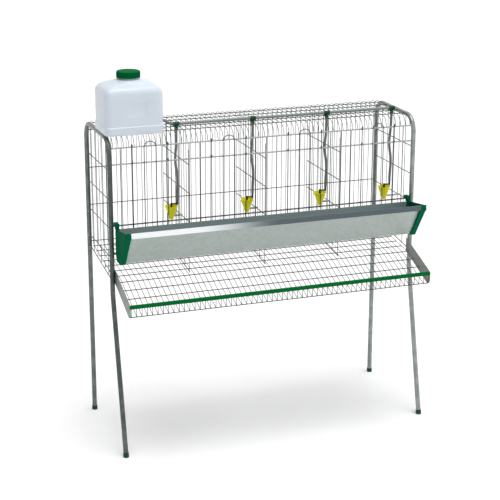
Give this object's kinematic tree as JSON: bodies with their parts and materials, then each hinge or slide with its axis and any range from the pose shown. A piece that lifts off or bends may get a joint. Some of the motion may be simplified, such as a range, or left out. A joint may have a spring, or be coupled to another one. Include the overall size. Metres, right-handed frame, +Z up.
{
  "type": "battery hen cage",
  "caption": "Free-standing wire hen cage on tube legs with side-by-side bays, sliding wire doors, sheet feeder trough, sloped floor with egg tray, and a water tank feeding drip cups.",
  "frame": {"origin": "on the floor, under the middle of the cage's overall length and depth", "axes": "+X along the cage to the right, +Y to the rear, +Z up"},
  "size_m": [1.0786, 0.4918, 1.2374],
  "materials": {
    "galvanised_tube": "dull zinc",
    "galvanised_wire": "dull zinc",
    "galvanised_sheet": "satin zinc",
    "foot_plastic": "satin",
    "green_plastic": "satin",
    "edge_plastic": "semi gloss",
    "tee_plastic": "satin",
    "tank_plastic": "translucent satin",
    "hose_plastic": "satin",
    "nipple_plastic": "satin",
    "pin_steel": "bright",
    "cup_plastic": "semi gloss"
  },
  "bodies": {
    "cage": {"cup_hooks": "galvanised_wire", "door_guides": "galvanised_wire", "drip_cup_1": "cup_plastic", "drip_cup_2": "cup_plastic", "drip_cup_3": "cup_plastic", "drip_cup_4": "cup_plastic", "drop_hose_1": "hose_plastic", "drop_hose_2": "hose_plastic", "drop_hose_3": "hose_plastic", "drop_hose_4": "hose_plastic", "egg_tray_lip": "galvanised_wire", "egg_tray_mesh": "galvanised_wire", "floor_mesh": "galvanised_wire", "front_panel": "galvanised_wire", "left_end_panel": "galvanised_wire", "left_front_foot_cap": "foot_plastic", "left_front_leg": "galvanised_tube", "left_rear_foot_cap": "foot_plastic", "left_rear_leg": "galvanised_tube", "left_top_tube": "galvanised_tube", "left_tray_plate": "galvanised_sheet", "nipple_1": "nipple_plastic", "nipple_2": "nipple_plastic", "nipple_3": "nipple_plastic", "nipple_4": "nipple_plastic", "partition_1": "galvanised_wire", "partition_2": "galvanised_wire", "partition_3": "galvanised_wire", "pipe_tee_1": "tee_plastic", "pipe_tee_2": "tee_plastic", "pipe_tee_3": "tee_plastic", "pipe_tee_4": "tee_plastic", "plate_rivets": "galvanised_sheet", "rear_panel": "galvanised_wire", "right_end_panel": "galvanised_wire", "right_front_foot_cap": "foot_plastic", "right_front_leg": "galvanised_tube", "right_rear_foot_cap": "foot_plastic", "right_rear_leg": "galvanised_tube", "right_top_tube": "galvanised_tube", "right_tray_plate": "galvanised_sheet", "roof_panel": "galvanised_wire", "supply_hose": "hose_plastic", "tank_outlet": "tee_plastic", "tray_edge_profile": "edge_plastic", "water_pipe": "hose_plastic", "water_tank": "tank_plastic"},
    "feeder": {"feeder_trough": "galvanised_sheet", "left_trough_cap": "green_plastic", "right_trough_cap": "green_plastic"},
    "tank_screw_cap": {"tank_cap": "green_plastic"},
    "sliding_door_1": {"door_1": "galvanised_wire"},
    "drinker_pin_1": {"nipple_pin_1": "pin_steel"},
    "sliding_door_2": {"door_2": "galvanised_wire"},
    "drinker_pin_2": {"nipple_pin_2": "pin_steel"},
    "sliding_door_3": {"door_3": "galvanised_wire"},
    "drinker_pin_3": {"nipple_pin_3": "pin_steel"},
    "sliding_door_4": {"door_4": "galvanised_wire"},
    "drinker_pin_4": {"nipple_pin_4": "pin_steel"}
  },
  "joints": [
    {"name": "door_1_slide", "type": "slide", "parent": "cage", "child": "sliding_door_1", "axis": [0, 0, 1], "range_m": [0, 0.19]},
    {"name": "door_2_slide", "type": "slide", "parent": "cage", "child": "sliding_door_2", "axis": [0, 0, 1], "range_m": [0, 0.19]},
    {"name": "door_3_slide", "type": "slide", "parent": "cage", "child": "sliding_door_3", "axis": [0, 0, 1], "range_m": [0, 0.19]},
    {"name": "door_4_slide", "type": "slide", "parent": "cage", "child": "sliding_door_4", "axis": [0, 0, 1], "range_m": [0, 0.19]},
    {"name": "feeder_lift", "type": "slide", "parent": "cage", "child": "feeder", "axis": [0, 0, 1], "range_m": [0, 0.06]},
    {"name": "tank_cap_turn", "type": "hinge", "parent": "cage", "child": "tank_screw_cap", "pos_m": [-0.441, 0.01657, 1.228], "axis": [0, 0, 1], "continuous": true},
    {"name": "pin_1_press", "type": "slide", "parent": "cage", "child": "drinker_pin_1", "axis": [0, 0, 1], "range_m": [0, 0.002], "stiffness_N_per_m": 120, "springref_m": -0.001},
    {"name": "pin_2_press", "type": "slide", "parent": "cage", "child": "drinker_pin_2", "axis": [0, 0, 1], "range_m": [0, 0.002], "stiffness_N_per_m": 120, "springref_m": -0.001},
    {"name": "pin_3_press", "type": "slide", "parent": "cage", "child": "drinker_pin_3", "axis": [0, 0, 1], "range_m": [0, 0.002], "stiffness_N_per_m": 120, "springref_m": -0.001},
    {"name": "pin_4_press", "type": "slide", "parent": "cage", "child": "drinker_pin_4", "axis": [0, 0, 1], "range_m": [0, 0.002], "stiffness_N_per_m": 120, "springref_m": -0.001}
  ]
}
